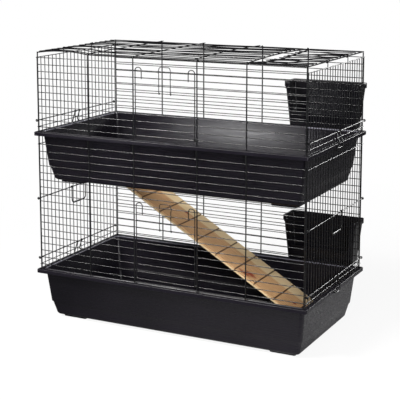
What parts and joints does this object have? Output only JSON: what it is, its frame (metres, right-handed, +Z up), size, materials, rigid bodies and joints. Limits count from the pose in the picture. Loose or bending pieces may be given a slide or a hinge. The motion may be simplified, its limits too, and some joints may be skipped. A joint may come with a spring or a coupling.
{
  "type": "rabbit cage",
  "caption": "Two-storey wire rabbit cage with deep plastic trays, drop-down front doors, lift-up roof flap, clips, handles, hay racks and an inner ramp.",
  "frame": {"origin": "on the floor, in the middle of the footprint with the hay racks behind", "axes": "+X to the right seen from the front, +Y to the back, +Z up"},
  "size_m": [1.015, 0.617, 0.9376],
  "materials": {
    "tray_plastic": "moulded polypropylene, charcoal, satin",
    "black_wire": "steel wire with a black powder coating",
    "rack_plastic": "moulded polypropylene, black, satin",
    "pine": "planed pine board, unfinished"
  },
  "bodies": {
    "cage": {"lower_tray": "tray_plastic", "upper_tray": "tray_plastic", "lower_front_left_panel": "black_wire", "lower_front_right_panel": "black_wire", "lower_front_top_wires": "black_wire", "lower_back_panel": "black_wire", "lower_left_panel": "black_wire", "lower_right_panel": "black_wire", "lower_door_hinge_wire": "black_wire", "upper_front_left_panel": "black_wire", "upper_front_right_panel": "black_wire", "upper_front_top_wires": "black_wire", "upper_back_panel": "black_wire", "upper_left_panel": "black_wire", "upper_right_panel": "black_wire", "upper_door_hinge_wire": "black_wire", "roof_panel": "black_wire", "rod_rings": "black_wire"},
    "roof_flap": {"roof_flap": "black_wire"},
    "lower_door": {"lower_door": "black_wire"},
    "upper_door": {"upper_door": "black_wire"},
    "lower_door_latch": {"lower_door_latch": "black_wire"},
    "upper_door_latch": {"upper_door_latch": "black_wire"},
    "lower_left_clip": {"lower_left_clip": "black_wire"},
    "lower_right_clip": {"lower_right_clip": "black_wire"},
    "upper_left_clip": {"upper_left_clip": "black_wire"},
    "upper_right_clip": {"upper_right_clip": "black_wire"},
    "left_handle": {"left_handle": "black_wire", "left_handle_rod": "black_wire"},
    "right_handle": {"right_handle": "black_wire", "right_handle_rod": "black_wire"},
    "lower_hay_rack": {"lower_hay_rack": "rack_plastic"},
    "upper_hay_rack": {"upper_hay_rack": "rack_plastic"},
    "ramp": {"ramp_board": "pine", "ramp_hooks": "black_wire"}
  },
  "joints": [
    {"name": "lower_door_hinge", "type": "hinge", "parent": "cage", "child": "lower_door", "pos_m": [0, -0.29095, 0.196], "axis": [1, 0, 0], "range_deg": [0, 115]},
    {"name": "lower_latch_pivot", "type": "hinge", "parent": "lower_door", "child": "lower_door_latch", "pos_m": [0, -0.29165, 0.36935], "axis": [1, 0, 0], "range_deg": [0, 100]},
    {"name": "lower_left_clip_pivot", "type": "hinge", "parent": "cage", "child": "lower_left_clip", "pos_m": [-0.49595, -0.0405, 0.217], "axis": [0, 1, 0], "range_deg": [0, 120]},
    {"name": "lower_right_clip_pivot", "type": "hinge", "parent": "cage", "child": "lower_right_clip", "pos_m": [0.49595, -0.0405, 0.217], "axis": [0, -1, 0], "range_deg": [0, 120]},
    {"name": "lower_rack_lift", "type": "slide", "parent": "cage", "child": "lower_hay_rack", "axis": [0, 0, 1], "range_m": [0, 0.012]},
    {"name": "upper_door_hinge", "type": "hinge", "parent": "cage", "child": "upper_door", "pos_m": [0, -0.29095, 0.677], "axis": [1, 0, 0], "range_deg": [0, 115]},
    {"name": "upper_latch_pivot", "type": "hinge", "parent": "upper_door", "child": "upper_door_latch", "pos_m": [0, -0.29165, 0.8189], "axis": [1, 0, 0], "range_deg": [0, 100]},
    {"name": "upper_left_clip_pivot", "type": "hinge", "parent": "cage", "child": "upper_left_clip", "pos_m": [-0.49595, -0.0405, 0.698], "axis": [0, 1, 0], "range_deg": [0, 120]},
    {"name": "upper_right_clip_pivot", "type": "hinge", "parent": "cage", "child": "upper_right_clip", "pos_m": [0.49595, -0.0405, 0.698], "axis": [0, -1, 0], "range_deg": [0, 120]},
    {"name": "upper_rack_lift", "type": "slide", "parent": "cage", "child": "upper_hay_rack", "axis": [0, 0, 1], "range_m": [0, 0.012]},
    {"name": "left_handle_pivot", "type": "hinge", "parent": "cage", "child": "left_handle", "pos_m": [-0.49595, -0.0405, 0.427], "axis": [0, 1, 0], "range_deg": [0, 170]},
    {"name": "right_handle_pivot", "type": "hinge", "parent": "cage", "child": "right_handle", "pos_m": [0.49595, -0.0405, 0.427], "axis": [0, -1, 0], "range_deg": [0, 170]},
    {"name": "roof_flap_hinge", "type": "hinge", "parent": "cage", "child": "roof_flap", "pos_m": [0.4865, -0.0405, 0.9316], "axis": [0, 1, 0], "range_deg": [0, 110]},
    {"name": "ramp_lift", "type": "slide", "parent": "cage", "child": "ramp", "axis": [0, 0, 1], "range_m": [0, 0.006]}
  ]
}
